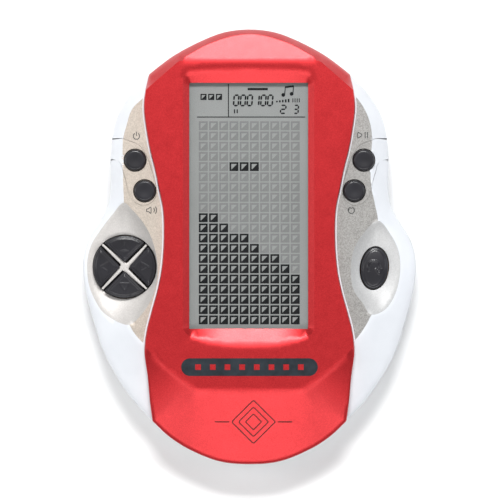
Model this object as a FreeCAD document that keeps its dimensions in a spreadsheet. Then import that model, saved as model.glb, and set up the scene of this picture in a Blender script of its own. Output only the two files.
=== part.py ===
import FreeCAD, Part
import math
import os

from FreeCAD import Placement, Rotation, Vector

# Hand-held LCD block game, lying on its back: +X right, +Y to its top end, +Z out of the screen.
# Millimetres. The origin is under the middle of the case, on the surface it rests on.

os.makedirs("parts", exist_ok=True)
doc = FreeCAD.newDocument("block_game")
sheet = doc.addObject("Spreadsheet::Sheet", "dims")

DIMENSIONS = {
    # levels above the rest plane
    "part_line": 12.0,      # where the rear cover meets the front shells
    "rim_level": 18.0,      # top of the upright outer wall of the wings
    "flat_level": 25.4,     # silver top of the wings
    "face_level": 28.0,     # dark red face
    "red_rim": 21.0,        # where the red end facets meet its upright wall
    "board_under": 13.0,
    "board_top": 14.6,
    # walls and gaps
    "wall": 2.0,
    "end_gap": 2.4,         # front housing inside the red skirt
    "fit_gap": 0.1,
    "key_gap": 0.35,
    # screen
    "lens_half": 25.2,
    "lens_top": 25.7,
    "lens_thick": 1.5,
    "glass_half": 24.0,
    "glass_under": 20.6,
    "glass_thick": 2.8,
    # keys
    "key_radius": 4.0,
    "key_proud": 1.5,
    "pad_level": 16.2,      # top of the rubber domes
    "pad_sheet": 0.6,
    "dpad_radius": 12.1,
    "dpad_top": 22.6,
    "rib_width": 1.3,
    "rotate_across": 5.2,   # half the oval key's width
    "rotate_along": 7.9,    # half its height
    # battery bay
    "bay_half": 27.5,
    "bay_roof": 17.4,
    "cell_radius": 7.25,
    "cell_length": 49.2,
    "cell_level": 9.95,
    "door_under": 0.5,
    "door_thick": 1.8,
}
for row, (alias, value) in enumerate(DIMENSIONS.items(), 1):
    sheet.set(f"A{row}", alias)
    sheet.set(f"B{row}", str(value))
    sheet.setAlias(f"B{row}", alias)
doc.recompute()
D = dict(DIMENSIONS)

# ---------------------------------------------------------------- outlines
# A loop is a list of chains, counter-clockwise. A chain is a list of pieces that share end
# points; one smooth curve runs through all its points and is cut where pieces meet.


def mirrored(chain):
    """The chain on the other side of x = 0, still counter-clockwise."""
    return [[(-x, y) for x, y in reversed(piece)] for piece in reversed(chain)]


def curve_through(points):
    ends = [Vector(x, y, 0) for x, y in points]
    if len(ends) == 2:
        return Part.LineSegment(*ends)
    curve = Part.BSplineCurve()
    curve.interpolate(ends)
    return curve


def chain_points(chain):
    return chain[0] + [p for piece in chain[1:] for p in piece[1:]]


def chain_curves(chain):
    curve = curve_through(chain_points(chain))
    if len(chain) == 1:
        return [curve]
    parts = []
    for piece in chain:
        part = curve.copy()
        start, end = (curve.parameter(Vector(*piece[i], 0)) for i in (0, -1))
        part.segment(start, end)
        parts.append(part)
    return parts


def loop_curves(loop):
    return [curve for chain in loop for curve in chain_curves(chain)]


def chain_normals(chain):
    """Inward unit normals of a counter-clockwise chain, one for each point."""
    points = chain_points(chain)
    curve = curve_through(points)
    normals = []
    for x, y in points:
        tangent = curve.tangent(curve.parameter(Vector(x, y, 0)))[0]
        normals.append(Vector(-tangent.y, tangent.x, 0).normalize())
    return normals


def inset(loop, depth, chain_depths=None):
    """The loop moved inwards; chain_depths gives some chains a depth of their own."""
    depths = [depth] * len(loop) if chain_depths is None else chain_depths
    normals = [chain_normals(chain) for chain in loop]
    moved = []
    for i, chain in enumerate(loop):
        before, after = (i - 1) % len(loop), (i + 1) % len(loop)
        points = chain_points(chain)
        shifts = [n * depths[i] for n in normals[i]]
        shifts[0] = corner_shift(normals[before][-1], depths[before], normals[i][0], depths[i])
        shifts[-1] = corner_shift(normals[i][-1], depths[i], normals[after][0], depths[after])
        new = [(x + s.x, y + s.y) for (x, y), s in zip(points, shifts)]
        pieces, start = [], 0
        for piece in chain:
            pieces.append(new[start:start + len(piece)])
            start += len(piece) - 1
        moved.append(pieces)
    return moved


def corner_shift(normal_a, depth_a, normal_b, depth_b):
    """Where two offset lines cross, seen from the corner they left."""
    cross = normal_a.x * normal_b.y - normal_a.y * normal_b.x
    if abs(cross) < 0.3:
        return (normal_a * depth_a + normal_b * depth_b) * 0.5
    return Vector(
        (depth_a * normal_b.y - depth_b * normal_a.y) / cross,
        (depth_b * normal_a.x - depth_a * normal_b.x) / cross,
        0,
    )


WING = [
    [(36.4, -65.8), (43.6, -58.2), (49.9, -49.1), (54.8, -40.0), (57.8, -31.0)],
    [(57.8, -31.0), (60.4, -21.9), (62.3, -12.9), (62.5, -5.0), (60.6, 2.3), (57.0, 8.3),
     (53.5, 14.4)],
    [(53.5, 14.4), (52.2, 22.0), (52.3, 31.0), (51.8, 39.3)],
    [(51.8, 39.3), (50.8, 45.4), (48.4, 51.4), (44.4, 57.5), (37.8, 64.4)],
]
WING_CREASE = [
    [(37.5, -38.5), (41.5, -34.2), (45.2, -28.0)],
    [(45.2, -28.0), (46.4, -10.0), (47.6, 12.0)],
    [(47.6, 12.0), (46.4, 22.0), (46.4, 33.0), (46.4, 41.0)],
    [(46.4, 41.0), (45.0, 47.6), (42.2, 52.6), (37.5, 57.5)],
]
TOP_RIGHT = [(37.8, 64.4), (34.0, 67.5), (28.2, 71.7)]
TOP_MIDDLE = [(28.2, 71.7), (18.9, 76.7), (9.5, 80.3), (0.0, 81.4)]
BOTTOM_MIDDLE = [(0.0, -82.0), (11.4, -80.9), (22.7, -76.4)]
BOTTOM_RIGHT = [(22.7, -76.4), (30.2, -71.6), (36.4, -65.8)]
RED_SIDE = [
    [(36.4, -65.8), (37.4, -58.2), (38.2, -49.0), (39.4, -39.3)],
    [(39.4, -39.3), (38.6, -31.8), (36.7, -24.2), (34.6, -16.6), (33.1, -9.1), (32.2, 2.0),
     (32.5, 13.6), (34.0, 21.2), (35.5, 28.7), (37.4, 36.3), (38.7, 43.8), (39.6, 51.4),
     (39.2, 57.5), (37.8, 64.4)],
]
RED_FACE_SIDE = [(38.9, -38.0), (38.2, -31.8), (36.3, -24.2), (34.2, -16.6), (32.7, -9.1),
                 (31.8, 2.0), (32.1, 13.6), (33.6, 21.2), (35.1, 28.7), (37.0, 36.3),
                 (38.3, 43.8), (39.1, 51.4), (38.9, 58.5)]


def left_to_right(half):
    return [(-x, y) for x, y in reversed(half)] + half[1:]


def right_to_left(half):
    return half + [(-x, y) for x, y in reversed(half[:-1])]


def end_chains(split):
    """The bottom and top arcs, whole or in three pieces."""
    bottom = [[(-x, y) for x, y in reversed(BOTTOM_RIGHT)], left_to_right(BOTTOM_MIDDLE),
              BOTTOM_RIGHT]
    top = [TOP_RIGHT, right_to_left(TOP_MIDDLE), [(-x, y) for x, y in reversed(TOP_RIGHT)]]
    if split:
        return bottom, top
    return [chain_points(bottom)], [chain_points(top)]


bottom_arc, top_arc = end_chains(split=False)
case_loop = [bottom_arc, WING, top_arc, mirrored(WING)]
crease_loop = [
    [[(-34.5, -38.5), (34.5, -38.5)]], [[(34.5, -38.5), (37.5, -38.5)]], WING_CREASE,
    [[(37.5, 57.5), (34.5, 57.5)]], [[(34.5, 57.5), (-34.5, 57.5)]],
    [[(-34.5, 57.5), (-37.5, 57.5)]], mirrored(WING_CREASE),
    [[(-37.5, -38.5), (-34.5, -38.5)]],
]
bottom_arc, top_arc = end_chains(split=True)
red_loop = [bottom_arc, RED_SIDE, top_arc, mirrored(RED_SIDE)]
red_face_loop = [
    [[(-29.5, -46.4), (-19.5, -53.7)]], [[(-19.5, -53.7), (19.5, -53.7)]],
    [[(19.5, -53.7), (29.5, -46.4)]],
    [[(29.5, -46.4), (38.9, -38.0)]], [RED_FACE_SIDE],
    [[(38.9, 58.5), (26.4, 69.4)]],
    [[(26.4, 69.4), (14.0, 77.2), (0.0, 80.1), (-14.0, 77.2), (-26.4, 69.4)]],
    [[(-26.4, 69.4), (-38.9, 58.5)]],
    mirrored([RED_FACE_SIDE]), [[(-38.9, -38.0), (-29.5, -46.4)]],
]

# ---------------------------------------------------------------- building blocks
nodes = []


def node(name, thing):
    """Registers an object as one of the separate pieces."""
    thing.Label = name
    nodes.append(thing)
    return thing


def bind(thing, **expressions):
    for path, expression in expressions.items():
        thing.setExpression(path.replace("__", "."), expression)
    return thing


def sketch(name, curves, level):
    """A closed profile, level above the rest plane; level is an expression."""
    profile = doc.addObject("Sketcher::SketchObject", name)
    for curve in curves:
        profile.addGeometry(curve, False)
    return bind(profile, Placement__Base__z=level)


def prism(name, curves, low, high):
    """A profile stood up between two levels, both expressions."""
    solid = doc.addObject("Part::Extrusion", name)
    solid.Base = sketch(name + "_profile", curves, low)
    solid.DirMode = "Custom"
    solid.Dir = Vector(0, 0, 1)
    solid.Solid = True
    return bind(solid, LengthFwd=f"({high}) - ({low})")


def loft(name, sections):
    """A ruled solid through (loop, level) sections."""
    solid = doc.addObject("Part::Loft", name)
    solid.Sections = [
        sketch(f"{name}_{i}", loop_curves(loop), level) for i, (loop, level) in enumerate(sections)
    ]
    solid.Solid = True
    solid.Ruled = True
    return solid


def box(name, x, y, low, high):
    """A block from x[0] to x[1], y[0] to y[1]; low and high are expressions."""
    solid = doc.addObject("Part::Box", name)
    solid.Length, solid.Width = x[1] - x[0], y[1] - y[0]
    solid.Placement = Placement(Vector(x[0], y[0], 0), Rotation())
    return bind(solid, Placement__Base__z=low, Height=f"({high}) - ({low})")


def centred(block, half):
    """The block made to reach half to either side of x = 0; half is an expression."""
    return bind(block, Placement__Base__x=f"-({half})", Length=f"2 * ({half})")


def rod(name, x, y, radius, low, high):
    """An upright cylinder; radius, low and high are expressions."""
    solid = doc.addObject("Part::Cylinder", name)
    solid.Placement = Placement(Vector(x, y, 0), Rotation())
    return bind(solid, Radius=radius, Placement__Base__z=low, Height=f"({high}) - ({low})")


def oval(x, y, half_x, half_y, tilt=0):
    """An ellipse profile, its long axis tilt degrees clockwise from +Y."""
    ellipse = Part.Ellipse(Vector(0, 0, 0), half_y, half_x)
    ellipse.rotate(Placement(Vector(0, 0, 0), Vector(0, 0, 1), 90 - tilt))
    ellipse.translate(Vector(x, y, 0))
    return [ellipse]


def polygon(points):
    ends = points[1:] + points[:1]
    return [Part.LineSegment(Vector(*a, 0), Vector(*b, 0)) for a, b in zip(points, ends)]


def fuse(name, solids):
    whole = doc.addObject("Part::MultiFuse", name)
    whole.Shapes = solids
    whole.Refine = True
    return whole


def cut(name, base, tools):
    """The base without the tools."""
    left = doc.addObject("Part::Cut", name)
    left.Base = base
    left.Tool = tools[0] if len(tools) == 1 else fuse(name + "_tools", tools)
    return left


def common(name, base, tool):
    shared = doc.addObject("Part::Common", name)
    shared.Base, shared.Tool = base, tool
    return shared


def bundle(name, solids):
    """Identical separate pieces kept as one node."""
    group = doc.addObject("Part::Compound", name)
    group.Links = solids
    return group


def tube_along(name, points, radius):
    """A round wire swept along a smooth path through the points."""
    path = doc.addObject("Part::Feature", name + "_path")
    spine = Part.BSplineCurve()
    spine.interpolate([Vector(*p) for p in points])
    path.Shape = Part.Wire([spine.toShape()])
    ring = doc.addObject("Part::Circle", name + "_ring")
    ring.Radius = radius
    start = spine.tangent(spine.FirstParameter)[0]
    ring.Placement = Placement(Vector(*points[0]), Rotation(Vector(0, 0, 1), start))
    sweep = doc.addObject("Part::Sweep", name)
    sweep.Sections = [ring]
    sweep.Spine = (path, ["Edge1"])
    sweep.Solid = True
    sweep.Frenet = False
    return sweep


# ---------------------------------------------------------------- shared solids
LEFT, RIGHT = -1, 1
CASE_SCREWS = [(43.0, 46.0), (-43.0, 46.0), (47.5, -37.0), (-47.5, -37.0), (0.0, -73.0),
               (0.0, 71.8)]
BOARD_SCREWS = [(30.5, 49.0), (-30.5, 49.0), (30.5, -26.0), (-30.5, -26.0)]



def stepped_in(loop, depth):
    """The case outline with its two end arcs moved in, for what sits inside the red skirt."""
    bottom, right, top, left = loop
    inner = []
    for arc in (bottom, top):
        shifts = [n * depth for n in chain_normals(arc)]
        inner.append([[(x + s.x, y + s.y) for (x, y), s in zip(chain_points(arc), shifts)]])
    low, high = inner
    return [low, [[low[0][-1], right[0][0]]], right, [[right[-1][-1], high[0][0]]],
            high, [[high[0][-1], left[0][0]]], left, [[left[-1][-1], low[0][0]]]]


housing_loop = stepped_in(case_loop, D["end_gap"])
housing_inner_loop = inset(housing_loop, D["wall"])

housing_outer = loft("housing_outer", [
    (housing_loop, "dims.part_line"), (housing_loop, "dims.rim_level"),
    (crease_loop, "dims.flat_level"),
])
housing_inner = loft("housing_inner", [
    (housing_inner_loop, "dims.part_line - 1"),
    (housing_inner_loop, "dims.rim_level - 0.6"),
    (inset(crease_loop, 1.2), "dims.flat_level - dims.wall"),
])


def dish(name, middle, half, tilt, grow):
    """An ellipsoid leaning outwards, for a thumb dish or, grown, for the wall under it."""
    solid = doc.addObject("Part::Ellipsoid", name)
    half_x, half_y, half_z = half
    solid.Radius2, solid.Radius3, solid.Radius1 = half_x + grow, half_y + grow, half_z + grow
    solid.Angle1, solid.Angle2, solid.Angle3 = -90, 90, 360
    solid.Placement = Placement(Vector(*middle), Rotation(Vector(0, 1, 0), tilt))
    return solid


DISHES = {
    "dpad": dict(middle=(-49.2, -7.0, 28.0), half=(18.2, 24.2, 9.0), tilt=-13.8),
    "rotate": dict(middle=(48.4, -8.3, 27.7), half=(13.1, 19.1, 7.0), tilt=14.3),
}
dish_cuts = [dish(f"{name}_dish", grow=0, **shape) for name, shape in DISHES.items()]
dish_walls = [dish(f"{name}_dish_wall", grow=1.6, **shape) for name, shape in DISHES.items()]
housing_skin = cut("housing_skin", housing_outer, dish_cuts)
housing_hollow = cut("housing_hollow", housing_inner, dish_walls)

CAPSULE = [(54.0, 40.4), (47.4, 40.4), (45.9, 39.7), (41.4, 37.8), (38.4, 33.3), (36.5, 28.0),
           (35.2, 23.1), (35.2, 18.5), (37.4, 15.9), (40.3, 15.3), (43.7, 17.0), (45.5, 20.4),
           (46.3, 24.2), (47.4, 28.0), (48.6, 31.4), (50.2, 32.3), (54.0, 32.3)]
DPAD = (-46.9, -7.8)
ROTATE = (46.9, -8.3)
ROTATE_TILT = 6
SMALL_KEYS = {
    "power_key": (-42.9, 32.2), "sound_key": (-39.3, 20.7),
    "start_key": (42.9, 32.2), "reset_key": (39.3, 20.7),
}


def capsule_curves(side, grow):
    """The outline of a key bezel: straight ends, smooth flanks."""
    middle = Vector(43.0, 28.0, 0)
    points = []
    for x, y in CAPSULE:
        away = (Vector(x, y, 0) - middle).normalize() * grow
        points.append((side * (x + away.x), y + away.y))
    chains = [points[0:2], points[1:7], points[6:10], points[9:15], points[14:17],
              [points[16], points[0]]]
    return [curve_through(chain) for chain in chains]


# ---------------------------------------------------------------- front housing
capsule_holes = [
    prism(f"capsule_hole_{side}", capsule_curves(side, D["fit_gap"]), "dims.rim_level - 2",
          "dims.flat_level + 1")
    for side in (LEFT, RIGHT)
]
SCREEN_Y = (-39.4, 68.4)
screen_hole = box("screen_hole", (-27.0, 27.0), (SCREEN_Y[0] - 0.4, SCREEN_Y[1] + 0.4),
                  "dims.part_line", "dims.face_level")
dpad_hole = rod("dpad_hole", *DPAD, "dims.dpad_radius + dims.key_gap", "dims.part_line",
                "dims.face_level")
rotate_opening = oval(*ROTATE, D["rotate_across"] + D["key_gap"], D["rotate_along"] + D["key_gap"],
                      ROTATE_TILT)
rotate_hole = prism("rotate_hole", rotate_opening,
                    "dims.part_line", "dims.face_level")
shell = cut("housing_shell", housing_skin,
            [housing_hollow, screen_hole, dpad_hole, rotate_hole] + capsule_holes)


def dpad_rib(name, angle):
    """One bar of the cross between the direction keys."""
    bar = box(name, (0, 25.6), (0, D["rib_width"]), "17.5", "21.4")
    bar.Placement = Placement(Vector(-12.8, -D["rib_width"] / 2, 0), Rotation())
    turned = doc.addObject("Part::Compound", name + "_turned")
    turned.Links = [bar]
    turned.Placement = Placement(Vector(*DPAD, 0), Rotation(Vector(0, 0, 1), angle))
    bind(bar, Width="dims.rib_width", Placement__Base__z="17.5")
    return turned


case_posts = [rod(f"case_post_{i}", x, y, "3.5", "dims.part_line", "dims.flat_level")
              for i, (x, y) in enumerate(CASE_SCREWS)]
board_posts = [rod(f"board_post_{i}", x, y, "2.6", "dims.board_top", "dims.flat_level")
               for i, (x, y) in enumerate(BOARD_SCREWS)]
posts = common("posts", fuse("post_group", case_posts + board_posts), housing_outer)
pilots = [rod(f"case_pilot_{i}", x, y, "1.1", "dims.part_line - 1", "dims.part_line + 5")
          for i, (x, y) in enumerate(CASE_SCREWS)]
pilots += [rod(f"board_pilot_{i}", x, y, "0.9", "dims.board_under", "dims.board_top + 5.5")
           for i, (x, y) in enumerate(BOARD_SCREWS)]
ribs = [dpad_rib("dpad_rib_a", 45), dpad_rib("dpad_rib_b", -45)]
front_housing = node("front_housing", cut(
    "front_housing_solid", fuse("housing_with_posts", [shell, posts] + ribs), pilots))

# ---------------------------------------------------------------- key bezels
for side, name in ((LEFT, "left_key_bezel"), (RIGHT, "right_key_bezel")):
    plug = prism(f"{name}_plug", capsule_curves(side, 0), "dims.rim_level - 2",
                 "dims.flat_level + 1")
    skin = cut(f"{name}_skin", common(f"{name}_full", housing_outer, plug), [housing_inner])
    holes = [rod(f"{key}_hole", x, y, "dims.key_radius + dims.key_gap", "dims.part_line",
                 "dims.face_level")
             for key, (x, y) in SMALL_KEYS.items() if x * side > 0]
    node(name, cut(f"{name}_solid", skin, holes))

# ---------------------------------------------------------------- red cover and lens
red_block = loft("red_block", [
    (red_loop, "dims.part_line"), (red_loop, "dims.red_rim"), (red_face_loop, "dims.face_level"),
])
red_inside = loft("red_inside", [
    (inset(red_loop, D["wall"]), "dims.part_line - 1"),
    (inset(red_loop, D["wall"]), "dims.red_rim - 1.4"),
    (inset(red_face_loop, 1.8), "dims.face_level - 1.8"),
])
top_facet = doc.addObject("Part::Box", "top_facet")
top_facet.Length, top_facet.Width, top_facet.Height = 90, 20, 6
top_facet.Placement = Placement(Vector(-45, 69.4, 0), Rotation(Vector(1, 0, 0), -12))
bind(top_facet, Placement__Base__z="dims.face_level")

WINDOW_X, WINDOW_Y = 22.9, (-31.4, 61.8)
window = [[[(-22.9, -31.4), (22.9, -31.4)]], [[(22.9, -31.4), (22.9, 61.8)]],
          [[(22.9, 61.8), (-22.9, 61.8)]], [[(-22.9, 61.8), (-22.9, -31.4)]]]
window_lip = [[[(-24.4, -31.8), (-12.5, -35.6), (0, -37.0), (12.5, -35.6), (24.4, -31.8)]],
              [[(24.4, -31.8), (24.4, 63.5)]],
              [[(24.4, 63.5), (12.5, 65.9), (0, 66.7), (-12.5, 65.9), (-24.4, 63.5)]],
              [[(-24.4, 63.5), (-24.4, -31.8)]]]
window_bevel = loft("window_bevel", [
    (inset(window, -0.01), "dims.lens_top + 0.4"), (window_lip, "dims.face_level"),
])
window_above = prism("window_above", loop_curves(window_lip), "dims.face_level",
                     "dims.face_level + 2")
window_hole = box("window_hole", (-WINDOW_X, WINDOW_X), WINDOW_Y, "dims.flat_level - 4",
                  "dims.lens_top + 0.5")
collar = common("window_collar_trimmed", red_block, box(
    "window_collar", (-26.6, 26.6), SCREEN_Y, "dims.lens_top - dims.lens_thick - 0.4",
    "dims.face_level - 1"))
lens_seat = centred(box("lens_seat", (-1, 1), (-33.6, 63.6), "dims.part_line", "dims.lens_top"),
                    "dims.lens_half + dims.fit_gap")
red_shell = cut("red_shell", red_block, [red_inside])
red_without_housing = cut("red_without_housing", fuse("red_with_collar", [red_shell, collar]), [
    top_facet, window_bevel, window_above, window_hole, lens_seat])
housing_footprint = common("housing_under_red", housing_outer, red_block)
housing_kept = cut("housing_beside_collar", housing_footprint, [screen_hole])
node("red_cover", cut("red_cover_solid", red_without_housing, [housing_kept]))
lens_block = box("lens_block", (-1, 1), (-33.5, 63.5), "dims.lens_top - dims.lens_thick",
                 "dims.lens_top")
node("lens", centred(lens_block, "dims.lens_half"))

# ---------------------------------------------------------------- screen stack and board
GLASS_Y = (-34.0, 64.0)
ZEBRA_Y = (-31.2, 62.2)
glass_block = box("lcd_glass_block", (-1, 1), GLASS_Y, "dims.glass_under",
                  "dims.glass_under + dims.glass_thick")
node("lcd_glass", centred(glass_block, "dims.glass_half"))
node("lcd_reflector", box("lcd_reflector_film", (-23.4, 23.4), (-29.8, 60.2),
                          "dims.glass_under - 0.3", "dims.glass_under"))
frame_block = box("lcd_frame_block", (-26.4, 26.4), (-36.4, 66.4), "dims.board_top", "23.6")
frame_tray = centred(box("lcd_frame_tray", (-1, 1), (-34.1, 64.1), "dims.glass_under - 0.3", "24"),
                     "dims.glass_half + dims.fit_gap")
frame_hollow = box("lcd_frame_hollow", (-23.4, 23.4), (-26.4, 56.4), "dims.board_top - 1", "18.8")
zebra_slots = [box(f"zebra_slot_{i}", (-22.2, 22.2), (y - 1.3, y + 1.3), "dims.board_top - 1", "24")
               for i, y in enumerate(ZEBRA_Y)]
frame_notch = box("lcd_frame_notch", (-27, 27), (-37, -32.5), "dims.board_top - 1", "18.7")
node("lcd_frame", cut("lcd_frame_solid", frame_block,
                      [frame_tray, frame_hollow, frame_notch] + zebra_slots))
node("zebra_strips", bundle("zebra_strip_pair", [
    box(f"zebra_strip_{i}", (-22, 22), (y - 1.2, y + 1.2), "dims.board_top", "dims.glass_under")
    for i, y in enumerate(ZEBRA_Y)]))

BOARD = [(44, -32.6), (54, -24), (57, -12), (57, -4), (52.5, 8), (48.5, 16), (48.5, 42), (38, 55),
         (27, 66.3)]
board_plate = prism("board_plate", polygon(BOARD + [(-x, y) for x, y in reversed(BOARD)]),
                    "dims.board_under", "dims.board_top")
board_notches = [rod(f"board_notch_{i}", x, y, "4.2", "10", "18")
                 for i, (x, y) in enumerate(CASE_SCREWS)]
board_holes = [rod(f"board_hole_{i}", x, y, "1.2", "10", "18")
               for i, (x, y) in enumerate(BOARD_SCREWS)]
node("main_board", cut("main_board_solid", board_plate, board_notches + board_holes))

blob_ball = doc.addObject("Part::Ellipsoid", "blob_ball")
blob_ball.Radius1, blob_ball.Radius2, blob_ball.Radius3 = 2.2, 9, 9
blob_ball.Angle1, blob_ball.Angle2, blob_ball.Angle3 = -90, 90, 360
blob_ball.Placement = Placement(Vector(0, 18, D["board_top"]), Rotation())
blob_ball.setExpression("Placement.Base.z", "dims.board_top")
node("chip_blob", common("chip_blob_dome", blob_ball, box(
    "blob_space", (-12, 12), (6, 30), "dims.board_top", "dims.board_top + 4")))
node("chip_resistors", bundle("chip_resistor_group", [
    box(f"chip_resistor_{i}", (x, x + 2), (y, y + 1.25), "dims.board_top", "dims.board_top + 0.6")
    for i, (x, y) in enumerate([(14, 30), (14, 34), (-16, 8), (12, -4), (-16, 40)])]))
node("capacitor", rod("capacitor_can", 18, 44, "2.5", "dims.board_under - 7", "dims.board_under"))

# ---------------------------------------------------------------- rubber key pads
DOMES = {
    "dpad_rubber_pad": [(DPAD[0] + 7 * dx, DPAD[1] + 7 * dy)
                        for dx, dy in ((0, 1), (0, -1), (-1, 0), (1, 0))],
    "rotate_rubber_pad": [ROTATE],
    "left_rubber_pad": [SMALL_KEYS["power_key"], SMALL_KEYS["sound_key"]],
    "right_rubber_pad": [SMALL_KEYS["start_key"], SMALL_KEYS["reset_key"]],
}
for name, spots in DOMES.items():
    xs, ys = [x for x, _ in spots], [y for _, y in spots]
    sheet_block = box(f"{name}_sheet", (min(xs) - 3.9, max(xs) + 3.9),
                      (min(ys) - 4.2, max(ys) + 4.2), "dims.board_top",
                      "dims.board_top + dims.pad_sheet")
    domes, hollows = [], []
    for i, (x, y) in enumerate(spots):
        dome = doc.addObject("Part::Cone", f"{name}_dome_{i}")
        dome.Radius1, dome.Radius2 = 3.3, 2.2
        dome.Placement = Placement(Vector(x, y, 0), Rotation())
        domes.append(bind(dome, Placement__Base__z="dims.board_top",
                          Height="dims.pad_level - dims.board_top"))
        hollows.append(rod(f"{name}_hollow_{i}", x, y, "1.9", "dims.board_top - 1",
                           "dims.pad_level - 0.5"))
    node(name, cut(f"{name}_solid", fuse(f"{name}_whole", [sheet_block] + domes), hollows))

# ---------------------------------------------------------------- keys


def key_body(name, profiles, round_edge):
    """A key as a body: pads stacked from the rubber upwards, its upper rim rounded."""
    body = doc.addObject("PartDesign::Body", name)
    plane = [f for f in body.Origin.OriginFeatures if f.Role == "XY_Plane"][0]
    for i, (curves, low, high) in enumerate(profiles):
        profile = body.newObject("Sketcher::SketchObject", f"{name}_sketch_{i}")
        profile.AttachmentSupport = (plane, "")
        profile.MapMode = "FlatFace"
        for curve in curves:
            profile.addGeometry(curve, False)
        profile.setExpression("AttachmentOffset.Base.z", low)
        pad = body.newObject("PartDesign::Pad", f"{name}_pad_{i}")
        pad.Profile = profile
        pad.setExpression("Length", f"({high}) - ({low})")
        doc.recompute()
    top = pad.Shape.BoundBox.ZMax
    rim = [f"Edge{i}" for i, edge in enumerate(pad.Shape.Edges, 1)
           if abs(edge.BoundBox.ZMin - top) < 1e-4]
    rounding = body.newObject("PartDesign::Fillet", f"{name}_rim")
    rounding.Base = (pad, rim)
    rounding.Radius = round_edge
    body.Tip = rounding
    return body


def disc(x, y, radius):
    return [Part.Circle(Vector(x, y, 0), Vector(0, 0, 1), radius)]


def sector(angle, half_gap, radius):
    """A quarter of the direction pad, its straight sides half_gap from the cross."""
    tip = half_gap * math.sqrt(2)
    reach = (-half_gap + math.sqrt(radius ** 2 - half_gap ** 2)) / math.sqrt(2)
    corner = Vector(reach, reach + tip, 0)
    turn = Placement(Vector(*DPAD, 0), Rotation(Vector(0, 0, 1), angle))
    apex, right, left, crown = (turn.multVec(v) for v in (
        Vector(0, tip, 0), corner, Vector(-corner.x, corner.y, 0), Vector(0, radius, 0)))
    return [Part.LineSegment(apex, right), Part.Arc(right, crown, left),
            Part.LineSegment(left, apex)]


KEY_TOP = "dims.flat_level + dims.key_proud"
for name, (x, y) in SMALL_KEYS.items():
    # The upper keys stand by the bevel, so their flanges reach inwards only.
    flange = disc(x, y, 5.2) if y < 30 else disc(x * 0.97, y, 4.6)
    node(name, key_body(name, [
        (disc(x, y, 2.0), "dims.pad_level", "22"),
        (flange, "22", "23"),
        (disc(x, y, D["key_radius"]), "23", KEY_TOP),
    ], 0.7))
for name, angle in (("dpad_up_key", 0), ("dpad_left_key", 90), ("dpad_down_key", 180),
                    ("dpad_right_key", 270)):
    node(name, key_body(name, [
        (sector(angle, 0.35, 12.35), "dims.pad_level", "dims.pad_level + 1"),
        (sector(angle, D["rib_width"] / 2 + 0.3, D["dpad_radius"]), "dims.pad_level + 1",
         "dims.dpad_top"),
    ], 0.6))
node("rotate_key", key_body("rotate_key", [
    (disc(*ROTATE, 3.0), "dims.pad_level", "17.2"),
    (oval(*ROTATE, 7.1, 9.3, ROTATE_TILT), "17.2", "18.4"),
    (oval(*ROTATE, D["rotate_across"], D["rotate_along"], ROTATE_TILT), "18.4", "dims.dpad_top + 0.9"),
], 0.8))

# ---------------------------------------------------------------- rear cover
BACK_ROUND = 6.2
rear_sections = []
for step in range(7):
    turn = math.radians(15 * step)
    rear_sections.append((inset(case_loop, BACK_ROUND * (1 - math.sin(turn))),
                          f"{BACK_ROUND * (1 - math.cos(turn)):.3f}"))
rear_outer = loft("rear_outer", rear_sections + [(case_loop, "dims.part_line")])
rear_inner = loft("rear_inner", [
    (inset(case_loop, 6.6), "dims.wall"), (inset(case_loop, 3.2), "dims.wall + 2"),
    (inset(case_loop, 2.0), "6.8"), (inset(case_loop, 2.0), "dims.part_line + 1"),
])
bay_tub = box("bay_tub", (-29.2, 29.2), (-66.1, -32.9), "1", "dims.bay_roof + 1")
bay_foot = common("bay_foot_trimmed", rear_outer,
                  box("bay_foot", (-31.2, 31.2), (-67.8, -31.4), "0", "4.6"))
bay = centred(box("bay", (-1, 1), (-64.6, -34.4), "-1", "dims.bay_roof"), "dims.bay_half")
door_recess = box("door_recess", (-29.3, 29.3), (-66.0, -32.4), "-1",
                  "dims.door_under + dims.door_thick + 0.3")
rear_posts = [rod(f"rear_post_{i}", x, y, "3.5", "1", "dims.part_line")
              for i, (x, y) in enumerate(CASE_SCREWS)]
head_holes = [rod(f"head_hole_{i}", x, y, "2.9", "-1", "6") for i, (x, y) in enumerate(CASE_SCREWS)]
shank_holes = [rod(f"shank_hole_{i}", x, y, "1.5", "-1", "13")
               for i, (x, y) in enumerate(CASE_SCREWS)]
knuckle_holes = []
for side in (LEFT, RIGHT):
    hole = doc.addObject("Part::Cylinder", f"knuckle_hole_{side + 1}")
    hole.Radius, hole.Height = 0.9, 1.4
    hole.Placement = Placement(Vector(29.2 if side > 0 else -30.6, -33.6, 0),
                               Rotation(Vector(0, 1, 0), 90))
    knuckle_holes.append(bind(hole, Placement__Base__z="dims.door_under + dims.door_thick / 2"))
buzzer_ring = cut("buzzer_ring", rod("buzzer_ring_outer", 0, 20, "15.4", "1", "4.4"),
                  [rod("buzzer_ring_inner", 0, 20, "13.8", "0", "5")])
rear_whole = fuse("rear_whole", [
    cut("rear_shell", rear_outer, [rear_inner]), bay_tub, bay_foot, buzzer_ring,
] + rear_posts)
rear_cover = node("rear_cover", cut("rear_cover_solid", rear_whole, [
    bay, door_recess, front_housing] + head_holes + shank_holes + knuckle_holes))

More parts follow.
